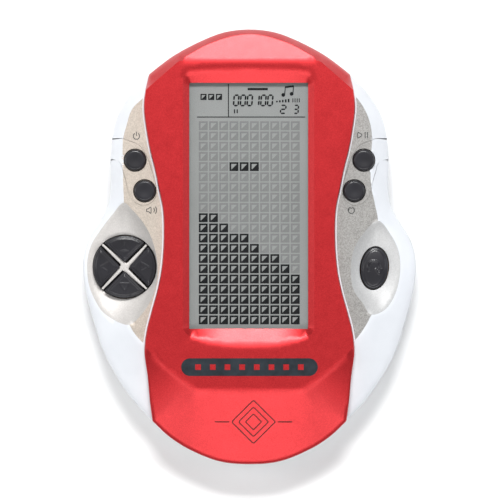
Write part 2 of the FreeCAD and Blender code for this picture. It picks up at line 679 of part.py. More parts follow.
# ---------------------------------------------------------------- battery door
door_plate = box("door_plate", (-29.0, 29.0), (-65.6, -33.6), "dims.door_under",
                 "dims.door_under + dims.door_thick")
door_edge = []
for name, radius, x, length in (("door_edge", 0.9, -29.0, 58.0), ("door_pins", 0.8, -30.3, 60.6)):
    bar = doc.addObject("Part::Cylinder", name)
    bar.Radius, bar.Height = radius, length
    bar.Placement = Placement(Vector(x, -33.6, 0), Rotation(Vector(0, 1, 0), 90))
    door_edge.append(bind(bar, Placement__Base__z="dims.door_under + dims.door_thick / 2"))
finger_notch = rod("finger_notch", 0, -66.5, "5", "-1", "dims.door_under + 0.9")
node("battery_door", cut("battery_door_solid", fuse("door_whole", [door_plate] + door_edge),
                         [finger_notch]))

# ---------------------------------------------------------------- cells and contacts
CELLS = {"battery_cell_upper": (-42.0, RIGHT), "battery_cell_lower": (-57.0, LEFT)}
CAP_LENGTH, CAP_RADIUS, CELL_END = 1.3, 2.75, 26.9


def lying_rod(name, y, x_low, x_high, radius):
    bar = doc.addObject("Part::Cylinder", name)
    bar.Radius, bar.Height = radius, x_high - x_low
    bar.Placement = Placement(Vector(x_low, y, 0), Rotation(Vector(0, 1, 0), 90))
    return bind(bar, Placement__Base__z="dims.cell_level")


for name, (y, plus) in CELLS.items():
    shoulder = CELL_END - CAP_LENGTH
    tail = shoulder - D["cell_length"]
    can = lying_rod(f"{name}_can", y, *sorted((plus * shoulder, plus * tail)), D["cell_radius"])
    cap = lying_rod(f"{name}_cap", y, *sorted((plus * shoulder, plus * CELL_END)), CAP_RADIUS)
    node(name, fuse(f"{name}_solid", [can, cap]))
SPRING_REACH = CELL_END - CAP_LENGTH - D["cell_length"]


def cell_spring(name, y, side):
    """A conical coil from its contact plate to the flat end of a cell."""
    turns, wire = 3, 0.35
    start, stop = side * (27.0 - wire), side * (-SPRING_REACH + wire + 0.02)
    path = []
    for i in range(turns * 12 + 1):
        part = i / (turns * 12)
        angle, radius = 2 * math.pi * turns * part, 4.6 - 2.0 * part
        path.append((start + (stop - start) * part, y + radius * math.cos(angle),
                     D["cell_level"] + radius * math.sin(angle)))
    return tube_along(name, path, wire)


node("cell_springs", bundle("cell_spring_pair", [
    cell_spring("spring_upper", -42.0, LEFT), cell_spring("spring_lower", -57.0, RIGHT)]))
node("bridge_contact", box("bridge_plate", (27.0, 27.5), (-62.5, -36.5), "4.2", "16.4"))
node("end_contacts", bundle("end_contact_pair", [
    box(f"end_plate_{i}", (-27.5, -27.0), (y - 5.5, y + 5.5), "4.2", "16.4")
    for i, y in enumerate((-42.0, -57.0))]))

# ---------------------------------------------------------------- buzzer, wires, screws
node("buzzer_disc", rod("buzzer_brass", 0, 20, "13.5", "dims.wall", "dims.wall + 0.3"))
node("buzzer_crystal", rod("buzzer_ceramic", 0, 20, "9.5", "dims.wall + 0.3", "dims.wall + 0.55"))
WIRES = {
    "battery_wire_red": [(-31.5, -42, 8), (-33.5, -38, 8), (-34, -30, 9), (-30, -18, 10.5),
                         (-24, -12, 12.3)],
    "battery_wire_black": [(-31.5, -57, 8), (-35.5, -50, 8), (-37, -32, 9), (-34, -16, 10.5),
                           (-27, -8, 12.3)],
    "buzzer_wire_inner": [(4, 20, 3.3), (8, 24, 6), (9, 30, 9), (8, 35, 12.3)],
    "buzzer_wire_outer": [(-11.5, 20, 3.0), (-11.5, 24, 6), (-9, 30, 9), (-6, 35, 12.3)],
}
for name, path in WIRES.items():
    node(name, tube_along(name + "_tube", path, 0.6))


def screw(name, x, y, head_radius, head_low, head_high, shank_radius, shank_high):
    head = rod(f"{name}_head", x, y, head_radius, head_low, head_high)
    shank = rod(f"{name}_shank", x, y, shank_radius, head_high, shank_high)
    slot_a = box(f"{name}_slot_a", (x - 1.6, x + 1.6), (y - 0.3, y + 0.3), "-2",
                 f"({head_low}) + 0.8")
    slot_b = box(f"{name}_slot_b", (x - 0.3, x + 0.3), (y - 1.6, y + 1.6), "-2",
                 f"({head_low}) + 0.8")
    return cut(name, fuse(f"{name}_whole", [head, shank]), [slot_a, slot_b])


node("case_screws", bundle("case_screw_group", [
    screw(f"case_screw_{i}", x, y, "2.5", "4.2", "6", "1.1", "16")
    for i, (x, y) in enumerate(CASE_SCREWS)]))
node("board_screws", bundle("board_screw_group", [
    screw(f"board_screw_{i}", x, y, "2.1", "dims.board_under - 1.4", "dims.board_under", "0.9",
          "19")
    for i, (x, y) in enumerate(BOARD_SCREWS)]))

# ---------------------------------------------------------------- check and write
doc.recompute()
for thing in doc.Objects:
    if {"Invalid", "Error"} & set(thing.State):
        raise RuntimeError(f"{thing.Label} did not rebuild")
for piece in nodes:
    shape = piece.Shape
    if shape.isNull() or not shape.isValid() or not shape.Solids:
        raise RuntimeError(f"{piece.Label} is not a good solid")
    shape.exportStep(f"parts/{piece.Label}.step")
    print(f"{piece.Label}: {len(shape.Solids)} solid, {shape.Volume / 1000:.2f} cm3")
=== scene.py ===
import math

import bpy
import numpy as np
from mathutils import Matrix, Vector
from mathutils.geometry import delaunay_2d_cdt


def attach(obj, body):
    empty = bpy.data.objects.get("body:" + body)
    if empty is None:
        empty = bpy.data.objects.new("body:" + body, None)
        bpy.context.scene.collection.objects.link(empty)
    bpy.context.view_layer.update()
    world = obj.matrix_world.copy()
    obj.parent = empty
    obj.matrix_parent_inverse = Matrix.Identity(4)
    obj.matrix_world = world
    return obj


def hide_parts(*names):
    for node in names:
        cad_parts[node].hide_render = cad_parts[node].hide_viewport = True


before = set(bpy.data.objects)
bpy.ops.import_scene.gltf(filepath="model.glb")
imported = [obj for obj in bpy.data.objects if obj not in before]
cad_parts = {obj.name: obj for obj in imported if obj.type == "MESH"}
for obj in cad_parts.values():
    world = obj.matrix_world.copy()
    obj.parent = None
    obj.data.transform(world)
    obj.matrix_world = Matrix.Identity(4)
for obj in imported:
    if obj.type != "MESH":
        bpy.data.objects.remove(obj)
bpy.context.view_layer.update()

MM = 0.001
TINY = 1e-6      # keeps a division by a distance from failing

# Levels above the rest plane, in millimetres, as in the CAD model.
PART_LINE, RIM, FLAT, FACE = 12.0, 18.0, 25.4, 28.0
LENS_TOP = 25.7

# ---------------------------------------------------------------- curves


def smooth(points, per_span=10, closed=False):
    """A rounded line through the points (centripetal Catmull-Rom)."""
    p = np.array(points, float)
    if closed:
        p = np.vstack([p[-1], p, p[0], p[1]])
    else:
        p = np.vstack([2 * p[0] - p[1], p, 2 * p[-1] - p[-2]])
    line = []
    for i in range(1, len(p) - 2):
        a, b, c, d = p[i - 1:i + 3]
        t1 = np.linalg.norm(b - a) ** 0.5
        t2 = t1 + np.linalg.norm(c - b) ** 0.5
        t3 = t2 + np.linalg.norm(d - c) ** 0.5
        for t in np.linspace(t1, t2, per_span, endpoint=False):
            ab = a + (b - a) * t / t1
            bc = b + (c - b) * (t - t1) / (t2 - t1)
            cd = c + (d - c) * (t - t2) / (t3 - t2)
            abc = ab + (bc - ab) * t / t2
            bcd = bc + (cd - bc) * (t - t1) / (t3 - t1)
            line.append(abc + (bcd - abc) * (t - t1) / (t2 - t1))
    if not closed:
        line.append(p[-2])
    return np.array(line)


def mirror(line):
    """The line on the other side, run the other way so that a loop stays counter-clockwise."""
    return (np.array(line) * [-1, 1])[::-1]


def joined(*lines):
    """One closed loop from lines that share end points."""
    return np.vstack([line[:-1] for line in lines])


def resampled(line, step, closed=True):
    """The line with evenly spaced points, about a step apart."""
    p = np.array(line, float)
    if closed:
        p = np.vstack([p, p[0]])
    run = np.concatenate([[0], np.cumsum(np.linalg.norm(np.diff(p, axis=0), axis=1))])
    count = max(3, int(round(run[-1] / step)))
    at = np.linspace(0, run[-1], count, endpoint=not closed)
    return np.stack([np.interp(at, run, p[:, k]) for k in range(2)], axis=1)


def inset(loop, depth):
    """A closed counter-clockwise loop moved inwards along its own normals."""
    ahead, behind = np.roll(loop, -1, axis=0), np.roll(loop, 1, axis=0)
    t = ahead - behind
    t /= np.linalg.norm(t, axis=1)[:, None] + 1e-9
    return loop + depth * np.stack([-t[:, 1], t[:, 0]], axis=1)


def inside(points, loop):
    """Which points lie in a closed loop."""
    x, y = points[:, 0][:, None], points[:, 1][:, None]
    a, b = loop, np.roll(loop, -1, axis=0)
    crosses = (a[:, 1] > y) != (b[:, 1] > y)
    rise = np.where(b[:, 1] == a[:, 1], 1e-9, b[:, 1] - a[:, 1])
    at = a[:, 0] + (y - a[:, 1]) * (b[:, 0] - a[:, 0]) / rise
    return (np.sum(crosses & (x < at), axis=1) % 2) == 1


def closest(points, line, closed=True):
    """Each point's distance from a line, and the nearest place on it."""
    a = line if closed else line[:-1]
    b = np.roll(line, -1, axis=0) if closed else line[1:]
    best, spot = np.full(len(points), 1e9), np.zeros((len(points), 2))
    rows, d = np.arange(len(points)), b - a
    size = np.maximum((d ** 2).sum(1), 1e-12)
    for k in range(0, len(a), 40):
        aa, dd, ss = a[k:k + 40], d[k:k + 40], size[k:k + 40]
        t = np.clip(((points[:, None, :] - aa) * dd).sum(2) / ss, 0, 1)
        foot = aa + t[..., None] * dd
        gap = np.linalg.norm(points[:, None, :] - foot, axis=2)
        least = gap.argmin(1)
        nearer = gap[rows, least] < best
        best[nearer] = gap[rows, least][nearer]
        spot[nearer] = foot[rows, least][nearer]
    return best, spot


def distance(points, line, closed=True):
    """Each point's distance from a line."""
    return closest(points, line, closed)[0]


# ---------------------------------------------------------------- outlines, in millimetres
WING = smooth([(36.4, -65.8), (43.6, -58.2), (49.9, -49.1), (54.8, -40.0), (57.8, -31.0),
               (60.4, -21.9), (62.3, -12.9), (62.5, -5.0), (60.6, 2.3), (57.0, 8.3),
               (53.5, 14.4), (52.2, 22.0), (52.3, 31.0), (51.8, 39.3), (50.8, 45.4),
               (48.4, 51.4), (44.4, 57.5), (37.8, 64.4)])
TOP_HALF = [(37.8, 64.4), (34.0, 67.5), (28.2, 71.7), (18.9, 76.7), (9.5, 80.3), (0.0, 81.4)]
BOTTOM_HALF = [(0.0, -82.0), (11.4, -80.9), (22.7, -76.4), (30.2, -71.6), (36.4, -65.8)]
TOP_ARC = smooth(TOP_HALF + [(-x, y) for x, y in TOP_HALF[-2::-1]])
BOTTOM_ARC = smooth([(-x, y) for x, y in BOTTOM_HALF[:0:-1]] + BOTTOM_HALF)
RED_SIDE = smooth([(36.4, -65.8), (37.4, -58.2), (38.2, -49.0), (39.4, -39.3), (38.6, -31.8),
                   (36.7, -24.2), (34.6, -16.6), (33.1, -9.1), (32.2, 2.0), (32.5, 13.6),
                   (34.0, 21.2), (35.5, 28.7), (37.4, 36.3), (38.7, 43.8), (39.6, 51.4),
                   (39.2, 57.5), (37.8, 64.4)])
CASE = joined(BOTTOM_ARC, WING, TOP_ARC, mirror(WING))
RED = joined(BOTTOM_ARC, RED_SIDE, TOP_ARC, mirror(RED_SIDE))

FACE_SIDE = np.array([(x - 0.35, y) for x, y in RED_SIDE if -37.6 < y < 58.0])
FACE_BOTTOM = smooth([(19.5, -53.7), (27.5, -48.6), (34.2, -43.0), (39.0, -37.8)], 6)
FACE_LOOP = np.vstack([FACE_BOTTOM, FACE_SIDE, [(38.9, 58.5)], [(26.4, 69.4)],
                       [(-26.4, 69.4)], [(-38.9, 58.5)], mirror(FACE_SIDE),
                       mirror(FACE_BOTTOM)])
TOP_PEAK = smooth([(26.4, 69.4), (14.0, 76.2), (0.0, 79.4), (-14.0, 76.2), (-26.4, 69.4)])
PLATEAU = np.vstack([FACE_BOTTOM, FACE_SIDE, [(38.9, 58.5)], TOP_PEAK, [(-38.9, 58.5)],
                     mirror(FACE_SIDE), mirror(FACE_BOTTOM)])

WINDOW = np.array([(-22.6, -31.1), (22.0, -31.1), (22.0, 61.2), (-22.6, 61.2)])
WINDOW_LIP = np.vstack([
    smooth([(-25.0, -30.6), (-24.0, -32.6), (-18.9, -35.0), (-9.5, -37.2), (0, -37.8),
            (9.5, -37.2), (18.9, -35.0), (23.4, -32.6), (24.3, -30.6)], 6),
    smooth([(24.3, 63.2), (23.5, 65.0), (21.0, 65.7), (12.5, 66.5), (0, 66.9),
            (-12.5, 66.5), (-21.6, 65.7), (-24.2, 65.0), (-25.0, 63.2)], 6)])

CREASE = {
    "left": smooth([(38.2, 57.2), (40.3, 55.2), (44.0, 51.4), (46.3, 44.6), (47.4, 40.1),
                    (47.5, 28.7), (47.1, 16.3), (46.2, -7.0), (44.8, -29.5), (42.5, -33.6),
                    (38.8, -37.4)]) * [-1, 1],
    "right": smooth([(38.2, 57.2), (39.9, 55.9), (42.5, 52.5), (44.8, 47.6), (45.9, 42.0),
                     (45.5, 30.0), (45.6, 23.1), (47.1, 15.5), (48.2, 9.5), (47.2, -8.0),
                     (45.5, -25.7), (42.9, -31.0), (38.8, -36.4)]),
}
DISH = {
    "left": smooth([(-47.1, 16.3), (-44.0, 13.6), (-40.6, 9.8), (-36.9, 3.4), (-34.6, -6.0),
                    (-35.0, -14.7), (-37.6, -21.5), (-40.6, -25.8), (-44.8, -29.5),
                    (-49.0, -28.7), (-55.0, -24.9), (-57.6, -21.2), (-60.3, -14.7),
                    (-61.0, -6.0), (-59.5, 0.4), (-56.5, 5.3), (-51.6, 11.7)], closed=True),
    "right": smooth([(48.2, 9.5), (53.1, 4.2), (56.1, -2.3), (56.5, -11.0), (54.2, -19.3),
                     (50.5, -24.2), (45.5, -25.7), (42.5, -21.5), (39.1, -16.6), (38.0, -9.1),
                     (39.1, -1.5), (41.8, 3.4)], closed=True),
}
DISH_TIP = {"left": 80, "right": 60}
BOWL_LEVEL = {"left": (19.15, -48.0, -7.0), "right": (20.85, 47.2, -8.6)}
DPAD, ROTATE, ROTATE_TILT = (-46.9, -7.8), (46.9, -8.3), math.radians(6)
SMALL_KEYS = {"power_key": (-42.9, 32.2), "sound_key": (-39.3, 20.7),
              "start_key": (42.9, 32.2), "reset_key": (39.3, 20.7)}
CAPSULE = [(56.0, 40.4), (47.4, 40.4), (45.9, 39.7), (41.4, 37.8), (38.4, 33.3), (36.5, 28.0),
           (35.2, 23.1), (35.2, 18.5), (37.4, 15.9), (40.3, 15.3), (43.7, 17.0), (45.5, 20.4),
           (46.3, 24.2), (47.4, 28.0), (48.6, 31.4), (50.2, 32.3), (56.0, 32.3)]


def circle(x, y, r, count=72):
    a = np.linspace(0, 2 * math.pi, count, endpoint=False)
    return np.stack([x + r * np.cos(a), y + r * np.sin(a)], axis=1)


def ellipse(x, y, rx, ry, tilt, count=80):
    c = circle(0, 0, 1, count) * [rx, ry]
    cos, sin = math.cos(-tilt), math.sin(-tilt)
    return np.stack([x + c[:, 0] * cos - c[:, 1] * sin, y + c[:, 0] * sin + c[:, 1] * cos], 1)


# ---------------------------------------------------------------- materials


def material(name):
    m = bpy.data.materials.new(name)
    m.use_nodes = True
    return m, m.node_tree.nodes, m.node_tree.links, m.node_tree.nodes["Principled BSDF"]


def coords(nodes):
    return nodes.new("ShaderNodeTexCoord").outputs["Object"]


def noise(nodes, links, where, scale, detail=4, rough=0.55):
    n = nodes.new("ShaderNodeTexNoise")
    n.inputs["Scale"].default_value = scale
    n.inputs["Detail"].default_value = detail
    n.inputs["Roughness"].default_value = rough
    links.new(where, n.inputs["Vector"])
    return n.outputs["Fac"]


def ramp(nodes, links, source, stops):
    r = nodes.new("ShaderNodeValToRGB")
    while len(r.color_ramp.elements) < len(stops):
        r.color_ramp.elements.new(0.5)
    for e, (at, colour) in zip(r.color_ramp.elements, stops):
        e.position, e.color = at, (*colour, 1)
    links.new(source, r.inputs["Fac"])
    return r.outputs["Color"]


def scaled(nodes, links, source, low, high):
    m = nodes.new("ShaderNodeMapRange")
    m.inputs["To Min"].default_value, m.inputs["To Max"].default_value = low, high
    links.new(source, m.inputs["Value"])
    return m.outputs["Result"]


def bump(nodes, links, source, strength, distance_m, shader, after=None):
    b = nodes.new("ShaderNodeBump")
    b.inputs["Strength"].default_value, b.inputs["Distance"].default_value = strength, distance_m
    links.new(source, b.inputs["Height"])
    if after is not None:
        links.new(after, b.inputs["Normal"])
    links.new(b.outputs["Normal"], shader.inputs["Normal"])
    return b.outputs["Normal"]


def moulded(name, dark, light, roughness, grain=2600, grain_depth=0.000006, coat=0.0,
            metallic=0.0, cloud=90, shine=0.5):
    """Moulded or painted plastic: slow colour drift, fine grain, uneven shine."""
    m, nodes, links, shader = material(name)
    where = coords(nodes)
    drift = noise(nodes, links, where, cloud, 3)
    links.new(ramp(nodes, links, drift, [(0.3, dark), (0.7, light)]), shader.inputs["Base Color"])
    wear = noise(nodes, links, where, 420, 6, 0.7)
    links.new(scaled(nodes, links, wear, roughness - 0.07, roughness + 0.07),
              shader.inputs["Roughness"])
    fine = noise(nodes, links, where, grain, 2)
    bump(nodes, links, fine, 0.35, grain_depth, shader)
    shader.inputs["Coat Weight"].default_value = coat
    shader.inputs["Coat Roughness"].default_value = 0.12
    shader.inputs["Metallic"].default_value = metallic
    shader.inputs["Specular IOR Level"].default_value = shine
    return m


def sparkle(name, dark, light, roughness, flakes, metallic, coat=0.15):
    """Metallic paint: small flakes of lighter and darker tone under a thin coat."""
    m, nodes, links, shader = material(name)
    where = coords(nodes)
    v = nodes.new("ShaderNodeTexVoronoi")
    v.inputs["Scale"].default_value = flakes
    links.new(where, v.inputs["Vector"])
    bw = nodes.new("ShaderNodeRGBToBW")
    links.new(v.outputs["Color"], bw.inputs["Color"])
    links.new(ramp(nodes, links, bw.outputs["Val"], [(0.15, dark), (0.9, light)]),
              shader.inputs["Base Color"])
    wear = noise(nodes, links, where, 300, 5)
    links.new(scaled(nodes, links, wear, roughness - 0.05, roughness + 0.06),
              shader.inputs["Roughness"])
    bump(nodes, links, bw.outputs["Val"], 0.25, 0.000008, shader)
    shader.inputs["Metallic"].default_value = metallic
    shader.inputs["Coat Weight"].default_value = coat
    shader.inputs["Coat Roughness"].default_value = 0.15
    return m


RED_PAINT = sparkle("red_paint", (0.38, 0.0105, 0.0145), (0.52, 0.023, 0.027), 0.38, 5200, 0.70,
                    0.08)
WHITE = moulded("white_shell", (0.60, 0.62, 0.655), (0.64, 0.66, 0.695), 0.34, coat=0.1)
# One silver paint in a left and a right copy: the left copy's warmer, lighter tone is a painted
# reflection, the right copy's darker grey is painted shade.
SILVER_PAINTED_LIGHT = {
    "left": sparkle("silver_left_painted_reflection", (0.44, 0.385, 0.33), (0.60, 0.53, 0.46), 0.36, 3600, 0.45),
    "right": sparkle("silver_right_painted_shade", (0.27, 0.262, 0.25), (0.44, 0.43, 0.415), 0.36, 3600, 0.55),
}
# One satin paint for the dishes in a left and a right copy: the left copy's warmer, lighter tone is
# a painted reflection, the right copy's darker grey is painted shade.
SATIN_PAINTED_LIGHT = {
    "left": sparkle("satin_left_painted_reflection", (0.46, 0.44, 0.425), (0.54, 0.52, 0.50), 0.50, 3600, 0.3, 0.05),
    "right": sparkle("satin_right_painted_shade", (0.43, 0.43, 0.43), (0.51, 0.51, 0.51), 0.50, 3600, 0.3, 0.05),
}
KEY_BLACK = moulded("key_black", (0.009, 0.0085, 0.011), (0.015, 0.0145, 0.019), 0.42, 3200,
                    0.00001, coat=0.3, shine=0.25)
LCD_GREY = moulded("lcd_ground", (0.265, 0.276, 0.270), (0.285, 0.296, 0.290), 0.45, 5000,
                   0.000002, cloud=40)
LCD_FAINT = moulded("lcd_faint", (0.18, 0.187, 0.183), (0.195, 0.202, 0.198), 0.5, 5000, 0.000002)
LCD_DARK = moulded("lcd_dark", (0.006, 0.006, 0.007), (0.012, 0.012, 0.013), 0.5, 5000, 0.000002,
                   shine=0.08)
INK_SLATE = moulded("ink_slate", (0.010, 0.013, 0.017), (0.020, 0.027, 0.034), 0.6, 900, 0.00001,
                    cloud=300, shine=0.15)
INK_LINE = moulded("ink_line", (0.05, 0.012, 0.010), (0.08, 0.02, 0.018), 0.5, 900, 0.00001,
                   shine=0.15)
ICON_INK = moulded("icon_ink", (0.03, 0.03, 0.03), (0.05, 0.05, 0.05), 0.5, 900, 0.00001)
PLASTIC_WHITE = moulded("inner_white", (0.55, 0.56, 0.55), (0.65, 0.66, 0.64), 0.5)
RUBBER = moulded("pad_rubber", (0.28, 0.30, 0.33), (0.36, 0.38, 0.41), 0.6)
BOARD = moulded("board_laminate", (0.17, 0.07, 0.02), (0.26, 0.12, 0.04), 0.45, 700, 0.00002)
METAL = sparkle("nickel", (0.5, 0.5, 0.49), (0.7, 0.7, 0.69), 0.25, 1500, 1.0, 0)
BRASS = sparkle("brass", (0.5, 0.33, 0.1), (0.72, 0.5, 0.2), 0.3, 1500, 1.0, 0)
JACKET = moulded("cell_jacket", (0.02, 0.02, 0.022), (0.05, 0.05, 0.055), 0.25, coat=0.5)
WIRE_RED = moulded("wire_red", (0.35, 0.01, 0.01), (0.5, 0.02, 0.02), 0.4)
ZEBRA = moulded("zebra_rubber", (0.45, 0.12, 0.18), (0.6, 0.2, 0.28), 0.6)


def lens_material():
    """Clear moulded acrylic that lamps shine through."""
    m, nodes, links, shader = material("clear_acrylic")
    shader.inputs["Base Color"].default_value = (0.03, 0.035, 0.035, 1)
    shader.inputs["Alpha"].default_value = 0.08
    shader.inputs["Specular IOR Level"].default_value = 0.25
    where = coords(nodes)
    wear = noise(nodes, links, where, 250, 6)
    links.new(scaled(nodes, links, wear, 0.05, 0.12), shader.inputs["Roughness"])
    return m


CLEAR = lens_material()

# ---------------------------------------------------------------- meshes


def make(name, points, faces, materials, body, stands_for=(), slot=None, face_slots=None,
         sharp=35.0):
    mesh = bpy.data.meshes.new(name)
    mesh.from_pydata([tuple(float(c) * MM for c in p) for p in points], [],
                     [tuple(int(i) for i in f) for f in faces])
    for m in materials:
        mesh.materials.append(m)
    if face_slots is not None:
        mesh.polygons.foreach_set("material_index", np.array(face_slots, np.int32))
    mesh.shade_smooth()
    mesh.set_sharp_from_angle(angle=math.radians(sharp))
    mesh.update()
    thing = bpy.data.objects.new(name, mesh)
    bpy.context.scene.collection.objects.link(thing)
    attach(thing, body)
    if stands_for:
        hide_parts(*stands_for)
    return thing


def triangulated(loops, creases, rings, step):
    """Points and triangles over the area: loops and creases are kept as edges."""
    points, edges = [], []
    for line, closed in [(l, True) for l in loops] + [(c, False) for c in creases]:
        start = len(points)
        points += [tuple(p) for p in line]
        last = len(points) - 1
        edges += [(i, i + 1) for i in range(start, last)]
        if closed:
            edges.append((last, start))
    fixed = np.array(points)
    near = [np.array(r) for r in rings]
    low, high = loops[0].min(0), loops[0].max(0)
    rows = np.arange(low[1], high[1], step * 0.866)
    grid = np.array([(x + (step / 2 if i % 2 else 0), y) for i, y in enumerate(rows)
                     for x in np.arange(low[0], high[0], step)])
    taken = np.vstack([fixed] + near)
    cell = step * 0.8
    used = {(int(a // cell), int(b // cell)) for a, b in taken}
    around = [(i, j) for i in (-1, 0, 1) for j in (-1, 0, 1)]

    def crowded(p):
        column, row = int(p[0] // cell), int(p[1] // cell)
        return any((column + i, row + j) in used for i, j in around)

    keep = [p for p in grid if not crowded(p)]
    extra = np.vstack(near + [np.array(keep)]) if keep else np.vstack(near)
    everything = [Vector(p) for p in points] + [Vector(p) for p in extra]
    found = delaunay_2d_cdt(everything, edges, [], 0, 1e-5)
    return np.array([tuple(v) for v in found[0]]), [tuple(f) for f in found[2]]


def height_shell(name, outer, holes, creases, height, floor, step, materials, pick, body,
                 rounding=(0.12, 0.3, 0.55), flip=False, **rest):
    """A moulded skin: top surface by height(points), with walls at every edge down to floor."""
    loops = [outer] + list(holes)
    rings = []
    for loop in loops:
        for depth in rounding:
            rings.append(inset(loop, depth))
    points, faces = triangulated(loops, creases, rings, step)
    middles = np.array([points[list(f)].mean(0) for f in faces])
    ok = inside(middles, outer)
    for hole in holes:
        ok &= ~inside(middles, hole)
    faces = [f for f, good in zip(faces, ok) if good]
    middles = middles[ok]
    faces = [f if turn_of(points, f) > 0 else f[::-1] for f in faces]
    top = height(points)
    solid = [(x, y, z) for (x, y), z in zip(points, top)]
    slots = list(pick(middles)) if pick is not None else [0] * len(faces)
    sides = {}
    for f in faces:
        for a, b in zip(f, f[1:] + f[:1]):
            sides[(a, b)] = True
    rim = [(a, b) for a, b in sides if (b, a) not in sides]
    under = {}
    base = floor(points)
    for a, b in rim:
        for i in (a, b):
            if i not in under:
                under[i] = len(solid)
                solid.append((points[i][0], points[i][1], min(top[i] - 0.05, base[i])))
        faces.append((b, a, under[a], under[b]))
        mid = (points[a] + points[b]) / 2
        slots.append(int(pick(mid[None])[0]) if pick is not None else 0)
    if flip:
        solid = [(x, y, -z) for x, y, z in solid]
        faces = [f[::-1] for f in faces]
    return make(name, solid, faces, materials, body, face_slots=slots, **rest)


def turn_of(points, f):
    """Above zero where the face runs counter-clockwise."""
    a, b, c = (points[i] for i in f[:3])
    return (b[0] - a[0]) * (c[1] - a[1]) - (b[1] - a[1]) * (c[0] - a[0])


def eased(t):
    t = np.clip(t, 0, 1)
    return t * t * (3 - 2 * t)


def rounded_drop(gap, radius):
    """How far a surface has fallen at gap from its edge, as a quarter round."""
    s = np.clip(1 - gap / radius, 0, 1)
    return radius * (1 - np.sqrt(1 - s * s))


# ---------------------------------------------------------------- surfaces of the case


# The red cover's edge level by place along its length, and its facets.
EDGE_PLACES = [-82, -73, -65.8, -38, 57, 64.4, 81.4]
EDGE_LEVELS = [20.6, 21.4, 22.8, 27.0, 27.4, 22.8, 22.2]
FACET_START, FACET_LENGTH, FACET_SLOPE = 69.4, 10.5, math.tan(math.radians(11))
WINDOW_FLOOR = 26.1


def red_height(p):
    """The red cover's top: face, sloping facets round it, and the lip down to the window."""
    y = p[:, 1]
    level = np.full(len(p), FACE)
    on_top = inside(p, PLATEAU)
    gap, crest = closest(p, PLATEAU)
    edge_gap = distance(p, RED)
    rim = p + (p - crest) / (gap[:, None] + TINY) * edge_gap[:, None]
    edge = np.interp(rim[:, 1], EDGE_PLACES, EDGE_LEVELS)
    share = gap / (gap + edge_gap + TINY)
    share = np.sqrt(share ** 2 + 0.008 ** 2) - 0.008
    level = level - np.clip(y - FACET_START, 0, FACET_LENGTH) * FACET_SLOPE
    level = np.where(on_top, level, level - (level - edge) * share)
    ends = np.where(y > 60, 2.0, np.where(y < -60, 0.8, 0.45))
    level -= rounded_drop(edge_gap, ends)
    lip_gap, glass_gap = distance(p, WINDOW_LIP), distance(p, WINDOW)
    slope = WINDOW_FLOOR + (FACE - WINDOW_FLOOR) * glass_gap / (glass_gap + lip_gap + TINY)
    return np.where(inside(p, WINDOW_LIP), np.minimum(slope, level), level)


FLAT_AREA = {}
for side, sign in (("left", -1), ("right", 1)):
    edge = RED_SIDE if sign > 0 else RED_SIDE * [-1, 1]
    middle = edge[(edge[:, 1] > -37.0) & (edge[:, 1] < 57.2)]
    FLAT_AREA[side] = np.vstack([middle - [sign * 1.0, 0], CREASE[side]])


DISH_DEPTH_REACH, DISH_ROUND = 8.5, 2.2


def wing_height(side):
    """The top of one wing as a function: silver flat, flank down to the rim, and thumb dish."""
    sign = -1 if side == "left" else 1
    outline = WING * [sign, 1]
    bowl_level, bowl_x, bowl_y = BOWL_LEVEL[side]

    def height(p):
        gap = distance(p, CREASE[side], closed=False)
        edge_gap = distance(p, outline, closed=False)
        share = gap / (gap + edge_gap + TINY)
        share = np.sqrt(share ** 2 + 0.05 ** 2) - 0.05
        level = np.where(inside(p, FLAT_AREA[side]), FLAT, FLAT - (FLAT - RIM) * share)
        level -= rounded_drop(edge_gap, 1.3)
        in_dish = inside(p, DISH[side])
        tip = DISH_TIP[side]
        one = distance(p, DISH[side][:tip + 1], closed=False)
        other = distance(p, DISH[side][tip:], closed=False)
        depth = np.clip(1.4 * one * other / (one + other + TINY) / DISH_DEPTH_REACH, 0, 1)
        share = 1 - (1 - depth) ** DISH_ROUND
        bowl = bowl_level - 0.10 * sign * (p[:, 0] - bowl_x) + 0.004 * (p[:, 1] - bowl_y) ** 2
        return np.where(in_dish, level * (1 - share) + np.minimum(bowl, level) * share, level)

    return height


def capsule_path(sign, grow):
    """The bezel outline from its lower outer end, round the keys, to its upper outer end."""
    core = smooth(CAPSULE[::-1][1:-1], 6)
    middle = np.array([43.0, 28.0])
    away = core - middle
    core = core + grow * away / np.linalg.norm(away, axis=1)[:, None]
    return core * [sign, 1]


HEIGHTS = {"left": wing_height("left"), "right": wing_height("right")}


def counter_clockwise(loop):
    """The loop, turned round if it runs clockwise."""
    x, y = loop[:, 0], loop[:, 1]
    area = np.sum(x * np.roll(y, -1) - np.roll(x, -1) * y)
    return loop if area > 0 else loop[::-1]


LIP = 0.55       # the white edge left beside the red cover


def silver_pick(side):
    """Which material a wing's place has: 0 silver, 1 white, 2 the dish's satin."""
    red_edge = RED_SIDE * [-1 if side == "left" else 1, 1]

    def pick(p):
        dish = inside(p, DISH[side])
        silver = inside(p, FLAT_AREA[side]) & (distance(p, red_edge, closed=False) > LIP)
        return np.where(dish, 2, np.where(silver, 0, 1))
    return pick


def shown_runs(line, shown, least):
    """The unbroken stretches of a line where shown is true, each of at least so many points."""
    breaks = np.where(np.diff(shown.astype(int)))[0] + 1
    return [line[run] for run in np.split(np.arange(len(line)), breaks)
            if len(run) >= least and shown[run[0]]]


